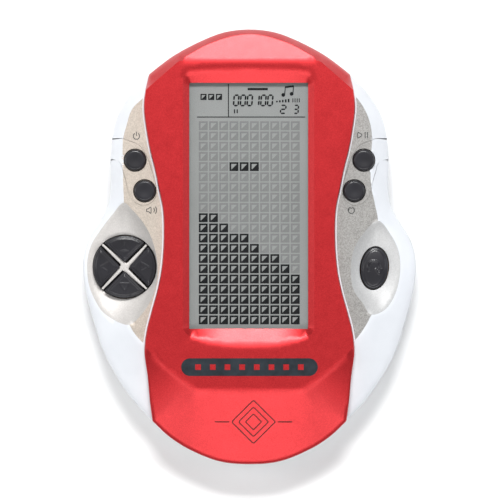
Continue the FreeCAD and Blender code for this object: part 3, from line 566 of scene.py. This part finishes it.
def build_wing(side):
    """One wing of the front housing and the key bezel let into it."""
    sign = -1 if side == "left" else 1
    wing = WING * [sign, 1]
    low = wing[wing[:, 1] < 32.0]
    high = wing[wing[:, 1] > 40.7]
    cut_out = capsule_path(sign, 0.08)
    red_edge = (RED_SIDE * [sign, 1])[::-1][1:-1]
    tip_low = np.array([[sign * 52.32, 32.18]])
    tip_high = np.array([[sign * 51.72, 40.46]])
    outer = np.vstack([low, tip_low, cut_out, tip_high, high, red_edge])
    outer = counter_clockwise(resampled(outer, 0.9))
    holes, creases = [], []
    if side == "left":
        holes.append(circle(*DPAD, 12.1, 110))
    else:
        holes.append(ellipse(*ROTATE, 5.55, 8.3, ROTATE_TILT))
    crease = resampled(CREASE[side], 0.8, closed=False)
    crease = crease[1:-1]
    hidden = inside(crease, DISH[side]) | (distance(crease, DISH[side]) < 0.7)
    plug = counter_clockwise(np.vstack([capsule_path(sign, 0.6), [[sign * 56, 40.6]],
                                        [[sign * 56, 32.0]]]))
    hidden |= inside(crease, plug)
    creases += shown_runs(crease, ~hidden, 4)
    lip = (RED_SIDE + [LIP, 0]) * [sign, 1]
    creases.append(resampled(lip[(lip[:, 1] > -35.5) & (lip[:, 1] < 56)], 0.9, closed=False))
    dish = resampled(DISH[side], 0.8)
    creases.append(np.vstack([dish, dish[:1]]))
    floor = lambda p: np.full(len(p), PART_LINE + 0.05)
    # Each wing takes its own side's silver and satin copies, so that side's painted reflection or
    # painted shade is in their colour.
    height_shell(f"{side}_wing", outer, holes, creases, HEIGHTS[side], floor, 0.85,
                 [SILVER_PAINTED_LIGHT[side], WHITE, SATIN_PAINTED_LIGHT[side]], silver_pick(side), "case",
                 rounding=(0.15, 0.4, 0.8), stands_for=("front_housing",), slot="white_plastic")
    rim = wing[(wing[:, 1] > 32.22) & (wing[:, 1] < 40.42)]
    bezel = np.vstack([rim, capsule_path(sign, -0.05)[::-1]])
    bezel = counter_clockwise(resampled(bezel, 0.6))
    key_holes = [circle(x, y, 4.35) for x, y in SMALL_KEYS.values() if x * sign > 0]
    clear = inside(crease, inset(bezel, 0.5))
    for hole in key_holes:
        clear &= ~inside(crease, hole) & (distance(crease, hole) > 0.6)
    folds = shown_runs(crease, clear, 2)
    # The bezel takes the same side copies, with that side's painted light in their colour.
    height_shell(f"{side}_bezel", bezel, key_holes, folds, HEIGHTS[side],
                 lambda p: np.where(np.abs(p[:, 0]) > 51, PART_LINE + 0.05, 20.0), 0.6,
                 [SILVER_PAINTED_LIGHT[side], WHITE, SATIN_PAINTED_LIGHT[side]], silver_pick(side), "case",
                 rounding=(0.08, 0.2), stands_for=(f"{side}_key_bezel",), slot="silver_plastic")


red_window = counter_clockwise(resampled(WINDOW, 1.2))
height_shell("red_shell", resampled(RED, 0.9), [red_window],
             [np.vstack([fold, fold[:1]])
              for fold in (resampled(FACE_LOOP, 1.0), resampled(WINDOW_LIP, 1.0))]
             + [resampled(TOP_PEAK[2:-2], 1.0, closed=False)],
             red_height, lambda p: np.where(distance(p, WINDOW) < 0.1, LENS_TOP - 0.1,
                                            PART_LINE + 0.05),
             1.1, [RED_PAINT], None, "case", rounding=(0.12, 0.35, 0.8, 1.5),
             stands_for=("red_cover",), slot="red_plastic", sharp=28)
for side in ("left", "right"):
    build_wing(side)

# ---------------------------------------------------------------- rear cover
DOOR_RECESS = np.array([(-29.3, -66.0), (29.3, -66.0), (29.3, -32.4), (-29.3, -32.4)])
CASE_SCREWS = [(43.0, 46.0), (-43.0, 46.0), (47.5, -37.0), (-47.5, -37.0), (0.0, -73.0),
               (0.0, 71.8)]
BACK_ROUND, HEAD_FLOOR, RECESS_FLOOR = 6.2, 6.0, 2.6


def back_height(p):
    """The back's level, turned over so that up is outwards."""
    return -rounded_drop(distance(p, CASE), BACK_ROUND)


def back_floor(p):
    near_case = distance(p, CASE) < 0.2
    near_door = distance(p, DOOR_RECESS) < 0.2
    return np.where(near_case, -PART_LINE + 0.08, np.where(near_door, -RECESS_FLOOR, -HEAD_FLOOR))


door_edge = resampled(DOOR_RECESS, 1.0)
screw_wells = [circle(x, y, 2.9, 32) for x, y in CASE_SCREWS]
height_shell("rear_shell", resampled(CASE, 1.0), [door_edge] + screw_wells, [], back_height,
             back_floor, 1.6, [WHITE], None, "case", rounding=(0.1, 0.4, 1.0, 1.9, 3.0, 4.4, 6.0),
             flip=True, stands_for=("rear_cover",), slot="white_plastic", sharp=40)
bay_outer = [(x, y, RECESS_FLOOR) for x, y in DOOR_RECESS]
bay_mouth = [(27.5 * math.copysign(1, x), -64.6 if y < -50 else -34.4, RECESS_FLOOR)
             for x, y in DOOR_RECESS]
bay_roof = [(x, y, 17.4) for x, y, _ in bay_mouth]
bay_points = bay_outer + bay_mouth + bay_roof
bay_faces = [(i, (i + 1) % 4, (i + 1) % 4 + 4, i + 4) for i in range(4)]
bay_faces += [(i + 4, (i + 1) % 4 + 4, (i + 1) % 4 + 8, i + 8) for i in range(4)] + [(8, 9, 10, 11)]
for well in screw_wells:
    bay_faces.append(tuple(range(len(bay_points), len(bay_points) + len(well))))
    bay_points += [(x, y, HEAD_FLOOR) for x, y in well]
make("rear_bay", bay_points, bay_faces, [WHITE], "case", stands_for=("rear_cover",),
     slot="white_plastic")

# ---------------------------------------------------------------- plain CAD pieces
CAD_LOOKS = {
    "battery_door": WHITE, "lens": CLEAR, "lcd_glass": LCD_GREY,
    "lcd_reflector": LCD_GREY, "lcd_frame": PLASTIC_WHITE, "zebra_strips": ZEBRA,
    "main_board": BOARD, "chip_blob": KEY_BLACK, "chip_resistors": KEY_BLACK,
    "capacitor": JACKET, "dpad_rubber_pad": RUBBER, "rotate_rubber_pad": RUBBER,
    "left_rubber_pad": RUBBER, "right_rubber_pad": RUBBER, "battery_cell_upper": JACKET,
    "battery_cell_lower": JACKET, "cell_springs": METAL, "bridge_contact": METAL,
    "end_contacts": METAL, "buzzer_disc": BRASS, "buzzer_crystal": METAL,
    "battery_wire_red": WIRE_RED, "battery_wire_black": KEY_BLACK,
    "buzzer_wire_inner": WIRE_RED, "buzzer_wire_outer": KEY_BLACK, "case_screws": METAL,
    "board_screws": METAL,
}
for name, look in CAD_LOOKS.items():
    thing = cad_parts[name]
    thing.data.materials.clear()
    thing.data.materials.append(look)

# ---------------------------------------------------------------- keys


KEY_RADIUS, KEY_FOOT, KEY_TOP, SHOULDER = 4.0, 20.4, FLAT + 1.5, 0.95


def lathe_key(name, x, y):
    """A round key: straight wall, rounded shoulder, slightly dished top."""
    profile = [(KEY_RADIUS, KEY_FOOT), (KEY_RADIUS, KEY_TOP - SHOULDER)]
    profile += [(KEY_RADIUS - SHOULDER * (1 - math.cos(a)),
                 KEY_TOP - SHOULDER + SHOULDER * math.sin(a))
                for a in np.linspace(0.15, math.pi / 2, 7)]
    profile += [(2.3, KEY_TOP - 0.03), (1.2, KEY_TOP - 0.12), (0.4, KEY_TOP - 0.15)]
    count = 64
    turns = [2 * math.pi * k / count for k in range(count)]
    points = [(x + r * math.cos(a), y + r * math.sin(a), z) for r, z in profile for a in turns]
    faces = []
    for i in range(len(profile) - 1):
        for k in range(count):
            n = (k + 1) % count
            faces.append((i * count + k, i * count + n, (i + 1) * count + n, (i + 1) * count + k))
    faces.append(tuple((len(profile) - 1) * count + k for k in range(count)))
    make(name + "_cap", points, faces, [KEY_BLACK], name, stands_for=(name,), slot="key_rubber",
         sharp=50)


for key, (x, y) in SMALL_KEYS.items():
    lathe_key(key, x, y)


def sector_outline(angle):
    """A quarter of the thumb pad with bowed sides and rounded corners."""
    half_gap, r = 1.02, 11.75
    tip = half_gap * math.sqrt(2)
    reach = (-half_gap + math.sqrt(r * r - half_gap * half_gap)) / math.sqrt(2)
    corner = 1.1
    arc_low = math.atan2(reach + tip, reach)
    arc = np.linspace(arc_low + corner / r, math.pi - arc_low - corner / r, 26)
    side = np.array([(0.9, tip + 0.9), (reach - 0.8, reach + tip - 0.8)])
    shape = [smooth([side[0], side.mean(0), side[1]], 8)]
    bend = np.array([side[1], (reach - 0.12, reach + tip - 0.2),
                     (r * math.cos(arc[0]), r * math.sin(arc[0]))])
    shape.append(smooth(bend, 5))
    shape.append(np.stack([r * np.cos(arc), r * np.sin(arc)], 1))
    half = np.vstack([shape[0][:-1], shape[1][:-1], shape[2][:13]])
    nose = smooth([(-0.9, tip + 0.9), (0, tip + 0.32), (0.9, tip + 0.9)], 6)
    whole = np.vstack([nose[:-1], half, (half * [-1, 1])[::-1]])
    c, s = math.cos(angle), math.sin(angle)
    return whole @ np.array([[c, s], [-s, c]]) + DPAD


def triangle(centre, angle, size):
    """An equal-sided triangle, size from its centre to each corner."""
    a = angle + np.array([0, 2 * math.pi / 3, 4 * math.pi / 3]) + math.pi / 2
    return np.stack([centre[0] + size * np.cos(a), centre[1] + size * np.sin(a)], 1)


def stepped_top(p, outline):
    """How far a key's top lies below its raised middle: a round edge, a flat rim, a small step."""
    gap = distance(p, outline)
    return rounded_drop(gap, 0.6) + 0.22 * (1 - eased((gap - 0.85) / 0.3))


KEY_RINGS = (0.06, 0.18, 0.4, 0.6, 0.85, 1.0, 1.15)
DPAD_LEVEL, DPAD_RISE, DPAD_RADIUS = 22.45, 0.35, 12.1
ROTATE_LEVEL, ROTATE_CROWN = 23.35, 0.010


def ridge(p, line, width, height, closed=True):
    """A raised line, height at its middle and fading out width away."""
    return height * eased(1 - distance(p, line, closed) / width)


for key, angle in (("dpad_up_key", 0), ("dpad_left_key", 90), ("dpad_down_key", 180),
                   ("dpad_right_key", 270)):
    turn = math.radians(angle)
    outline = resampled(sector_outline(turn), 0.45)
    centre = np.array(DPAD) + 7.2 * np.array([-math.sin(turn), math.cos(turn)])
    arrow = resampled(triangle(centre, turn, 1.9), 0.25)

    def key_height(p, outline=outline, arrow=arrow):
        away = np.linalg.norm(p - DPAD, axis=1) / DPAD_RADIUS
        level = DPAD_LEVEL + DPAD_RISE * away ** 2 - stepped_top(p, outline)
        return level + ridge(p, arrow, 0.35, 0.12)

    height_shell(key + "_cap", outline, [], [], key_height, lambda p: np.full(len(p), 17.6), 0.32,
                 [KEY_BLACK], None, key, rounding=KEY_RINGS, stands_for=(key,),
                 slot="key_rubber", sharp=60)

rotate_outline = resampled(ellipse(*ROTATE, 5.15, 7.9, ROTATE_TILT, 120), 0.4)
bend = np.radians(np.linspace(-35, 215, 26))
turn_arrow = np.stack([ROTATE[0] - 0.2 + 2.2 * np.cos(bend),
                       ROTATE[1] + 0.5 + 2.2 * np.sin(bend)], 1)
arrow_head = np.array([(-1.1, 0.3), (0.25, -1.25), (1.0, 0.6)]) + turn_arrow[0]


def rotate_height(p):
    away = (p[:, 0] - ROTATE[0]) ** 2 + (p[:, 1] - ROTATE[1]) ** 2
    level = ROTATE_LEVEL - ROTATE_CROWN * away
    level = level - stepped_top(p, rotate_outline)
    mark = np.maximum(ridge(p, turn_arrow, 0.5, 0.34, closed=False),
                      ridge(p, arrow_head, 0.45, 0.34, closed=False))
    return level + mark


height_shell("rotate_key_cap", rotate_outline, [], [], rotate_height,
             lambda p: np.full(len(p), 18.6), 0.3, [KEY_BLACK], None, "rotate_key",
             rounding=KEY_RINGS, stands_for=("rotate_key",), slot="key_rubber",
             sharp=60)

# The four ribs between the thumb keys.
RIB_HALF, RIB_REACH, RIB_MEET, RIB_LEVEL, RIB_FOOT = 0.42, 11.9, 1.5, 21.0, 17.5
cross = []
for k in range(4):
    a = math.radians(45 + 90 * k)
    along, across = np.array([math.cos(a), math.sin(a)]), np.array([-math.sin(a), math.cos(a)])
    cross += [across * -RIB_HALF + along * RIB_REACH, across * RIB_HALF + along * RIB_REACH,
              across * RIB_HALF + along * RIB_MEET]
cross = counter_clockwise(resampled(np.array(cross) + DPAD, 0.45))
# The ribs take the left satin copy, so its painted reflection tint is on them too.
height_shell("dpad_cross", cross, [], [],
             lambda p: RIB_LEVEL - rounded_drop(distance(p, cross), 0.3),
             lambda p: np.full(len(p), RIB_FOOT), 0.4, [SATIN_PAINTED_LIGHT["left"]], None, "case",
             rounding=(0.08, 0.22), slot="silver_plastic", sharp=50)

# ---------------------------------------------------------------- display figures
LCD_TOP = 23.4


def flat_faces(name, shapes, level, look, body="case", slot="lcd"):
    """Thin printed shapes, each a list of points, all at one level or on a height function."""
    points, faces = [], []
    for shape in shapes:
        p = counter_clockwise(np.array(shape, float))
        z = level(p) if callable(level) else np.full(len(p), level)
        faces.append(tuple(range(len(points), len(points) + len(p))))
        points += [(x, y, h) for (x, y), h in zip(p, z)]
    return make(name, points, faces, [look], body, slot=slot)


def bar(a, b, width):
    """A straight bar between two places, as four points."""
    a, b = np.array(a, float), np.array(b, float)
    d = (b - a) / np.linalg.norm(b - a)
    n = np.array([-d[1], d[0]]) * width / 2
    return [a - n, b - n, b + n, a + n]


def block_cell(x, y, size):
    """One block of the display: a square ring and half of its inner square."""
    wall, gap = size * 0.2, size * 0.045
    far = size - wall
    ring = [[(0, 0), (size, 0), (far, wall), (wall, wall)],
            [(size, 0), (size, size), (far, far), (far, wall)],
            [(size, size), (0, size), (wall, far), (far, far)],
            [(0, size), (0, 0), (wall, wall), (wall, far)],
            [(wall + gap, wall), (far, wall), (far, far - gap)]]
    return [[(x + px, y + py) for px, py in shape] for shape in ring]


def is_lit(row, col):
    """A plain stair falling to the right, with a straight row of three cells above it."""
    return row >= 9 + 2 * col // 3 or (row == 4 and 3 <= col <= 5)


GRID_LEFT, GRID_TOP, PITCH, CELL = -19.0, 46.8, 3.835, 3.33
lit, faint = [], []
for row in range(20):
    for col in range(10):
        shapes = block_cell(GRID_LEFT + col * PITCH, GRID_TOP - row * PITCH - CELL, CELL)
        (lit if is_lit(row, col) else faint).extend(shapes)
for x in (-18.4, -15.5, -12.6):
    lit += block_cell(x, 54.8, 2.3)
lit.append(bar((-19.7, 48.4), (20.9, 48.4), 0.35))
lit.append(bar((-7.9, 60.9), (-7.9, 48.4), 0.35))

SEGMENTS = {"0": "abcdef", "1": "bc", "2": "abged", "3": "abgcd"}


def digit(figure, x, y, width, height, stroke, lean=0.08):
    """One seven-bar figure; x, y is its lower left corner."""
    half, s = height / 2, stroke / 2
    ends = {"a": ((0, height), (width, height)), "g": ((0, half), (width, half)),
            "d": ((0, 0), (width, 0)), "f": ((0, half), (0, height)),
            "b": ((width, half), (width, height)), "e": ((0, 0), (0, half)),
            "c": ((width, 0), (width, half))}
    shapes = []
    for segment in SEGMENTS[figure]:
        a, b = (np.array(e, float) for e in ends[segment])
        d = (b - a) / np.linalg.norm(b - a)
        n = np.array([-d[1], d[0]]) * s
        a, b = a + d * 0.12, b - d * 0.12
        line = [a, a + d * s + n, b - d * s + n, b, b - d * s - n, a + d * s - n]
        shapes.append([(x + px + lean * py, y + py) for px, py in line])
    return shapes


for k, figure in enumerate("000100"):
    lit += digit(figure, -6.0 + 2.55 * k, 52.7, 1.75, 3.9, 0.62)
lit += digit("2", 11.6, 49.8, 1.9, 3.0, 0.55) + digit("3", 16.6, 49.8, 1.6, 3.0, 0.55)
# Small generic marks: a bar over the digits, a pause sign, two rows of ticks and a note.
lit += [bar((-0.7, 58.9), (6.9, 58.9), 0.9)]
lit += [bar((-5.6, 49.8), (-5.6, 51.3), 0.45), bar((-4.6, 49.8), (-4.6, 51.3), 0.45)]
lit += [bar((10.3 + 1.1 * k, 53.9), (10.3 + 1.1 * k, 54.5 + 0.18 * k), 0.6) for k in range(5)]
lit += [bar((16.3 + 0.8 * k, 53.9), (16.3 + 0.8 * k, 55.4), 0.35) for k in range(4)]
note_x, note_y = 13.2, 56.6
lit += [bar((note_x, note_y), (note_x + 0.25, note_y + 3.1), 0.35),
        bar((note_x + 3.1, note_y + 0.4), (note_x + 3.35, note_y + 3.5), 0.35),
        bar((note_x + 0.2, note_y + 3.0), (note_x + 3.4, note_y + 3.4), 0.7),
        circle(note_x - 0.5, note_y + 0.1, 0.72, 14), circle(note_x + 2.6, note_y + 0.5, 0.72, 14)]
flat_faces("display_lit", lit, LCD_TOP + 0.06, LCD_DARK)
flat_faces("display_faint", faint, LCD_TOP + 0.03, LCD_FAINT)

# ---------------------------------------------------------------- printed marks on the case


def painted_strip(name, top, bottom, level, look):
    """A printed band between two lines with the same number of points."""
    points, faces = [], []
    rows = [top * (1 - k / 3) + bottom * (k / 3) for k in range(4)]
    for r in rows:
        points += [(x, y, z) for (x, y), z in zip(r, level(r))]
    n = len(top)
    for r in range(3):
        for i in range(n - 1):
            a = r * n + i
            faces.append((a + n, a + n + 1, a + 1, a))
    make(name, points, faces, [look], "case", slot="red_plastic")


# A plain bar with round ends, and a row of equal squares on it.
BAND_Y, BAND_HALF, BAND_REACH = -45.4, 3.3, 25.6
band_x = BAND_REACH * np.sin(np.linspace(-math.pi / 2, math.pi / 2, 150))
into_end = np.clip(BAND_REACH - np.abs(band_x), 0, BAND_HALF)
band_half = np.sqrt(BAND_HALF ** 2 - (BAND_HALF - into_end) ** 2) + 0.02
painted_strip("plain_band", np.stack([band_x, BAND_Y + band_half], 1),
              np.stack([band_x, BAND_Y - band_half], 1), lambda p: red_height(p) + 0.03, INK_SLATE)

SQUARE, SQUARE_PITCH, SQUARES_START = 2.1, 5.5, -20.3
squares = []
for k in range(8):
    x, low = SQUARES_START + SQUARE_PITCH * k, BAND_Y - SQUARE / 2
    squares.append([(x, low), (x + SQUARE, low), (x + SQUARE, low + SQUARE), (x, low + SQUARE)])
flat_faces("band_squares", squares, FACE + 0.06, RED_PAINT, slot="red_plastic")


def printed_line(name, runs, width, look, height_of, slot="red_plastic"):
    """Fine printed lines laid on a curved surface."""
    shapes = []
    for run in runs:
        line = resampled(np.array(run, float), 0.8, closed=False)
        shapes += [bar(a, b, width) for a, b in zip(line, line[1:])]
    return flat_faces(name, shapes, lambda p: height_of(p) + 0.09, look, slot=slot)


# A plain line ornament: diamonds set inside one another, between two short rules.
ornament = [[(1.5 + r * u, -66.0 + r * v) for u, v in ((1, 0), (0, 1), (-1, 0), (0, -1), (1, 0))]
            for r in (3.0, 5.6, 8.2)]
ornament += [[(-13.0, -66.0), (-7.6, -66.0)], [(10.6, -66.0), (16.0, -66.0)]]
printed_line("chin_ornament", ornament, 0.4, INK_LINE, red_height)


def arc(x, y, r, start, stop, count=18):
    a = np.radians(np.linspace(start, stop, count))
    return np.stack([x + r * np.cos(a), y + r * np.sin(a)], 1)


# Plain signs: power and a speaker on the left, play, pause and a loop on the right.
left_icons = [arc(-42.4, 41.2, 1.25, 120, 420),
              [(-42.4, 41.3), (-42.4, 42.9)],
              [(-38.6, 12.9), (-37.8, 12.9), (-36.9, 12.0), (-36.9, 14.9), (-37.8, 14.0),
               (-38.6, 14.0), (-38.6, 12.9)],
              arc(-37.0, 13.45, 1.4, -38, 38, 8),
              arc(-37.0, 13.45, 2.2, -38, 38, 8)]
right_icons = [[(40.6, 40.4), (40.6, 42.8), (42.5, 41.6), (40.6, 40.4)],
               [(43.4, 40.4), (43.4, 42.8)],
               [(44.3, 40.4), (44.3, 42.8)],
               arc(38.2, 13.4, 1.25, 130, 430),
               [(37.2, 13.2), (37.4, 14.4), (38.5, 14.2)]]
printed_line("left_icons", left_icons, 0.3, ICON_INK, HEIGHTS["left"], "silver_plastic")
printed_line("right_icons", right_icons, 0.3, ICON_INK, HEIGHTS["right"], "silver_plastic")

# ---------------------------------------------------------------- floor, lamps, camera
bpy.ops.mesh.primitive_plane_add(size=6, location=(0, 0, 0))
floor = bpy.context.object
floor.name = "floor"
paper = moulded("floor_paper", (0.86, 0.86, 0.86), (0.88, 0.88, 0.88), 0.8, 60, 0.0001, cloud=3)
floor.data.materials.append(paper)


def lamp(name, place, aim, size, power, colour=(1, 1, 1)):
    light = bpy.data.lights.new(name, "AREA")
    light.shape, light.size, light.size_y = "RECTANGLE", size[0], size[1]
    light.energy, light.color = power, colour
    thing = bpy.data.objects.new(name, light)
    bpy.context.scene.collection.objects.link(thing)
    thing.location = place
    thing.rotation_euler = (Vector(aim) - Vector(place)).to_track_quat("-Z", "Y").to_euler()
    return thing


AIM = (0, 0, 0.02)
lamps = [
    lamp("top_lamp", (0.0, 0.54, 0.92), AIM, (0.36, 0.2), 11),
    lamp("chin_lamp", (0.0, -0.50, 0.85), AIM, (0.7, 0.36), 4.0),
    lamp("left_lamp", (-0.8, 0.1, 0.55), AIM, (0.3, 0.9), 2.4),
    lamp("right_lamp", (0.8, 0.1, 0.55), AIM, (0.3, 0.9), 1.6, (0.9, 0.95, 1)),
]
world = bpy.data.worlds.new("studio")
bpy.context.scene.world = world
world.use_nodes = True
sky, sky_links = world.node_tree.nodes, world.node_tree.links
place = sky.new("ShaderNodeTexCoord")
parts = sky.new("ShaderNodeSeparateXYZ")
sky_links.new(place.outputs["Generated"], parts.inputs["Vector"])
dome = ramp(sky, sky_links, parts.outputs["Z"],
            [(0.0, (1.0, 1.0, 1.0)), (0.45, (0.55, 0.55, 0.55)), (0.8, (0.38, 0.38, 0.38)),
             (0.96, (0.09, 0.09, 0.09))])
sky_links.new(dome, sky["Background"].inputs["Color"])
sky["Background"].inputs["Strength"].default_value = 0.6
bpy.context.scene.view_settings.view_transform = "Standard"

camera_data = bpy.data.cameras.new("camera")
camera_data.sensor_width, camera_data.lens = 36, 571
camera_data.clip_start, camera_data.clip_end = 0.05, 20
camera = bpy.data.objects.new("camera", camera_data)
bpy.context.scene.collection.objects.link(camera)
camera.location = (0.0002, -0.0015, 3.0)
bpy.context.scene.camera = camera
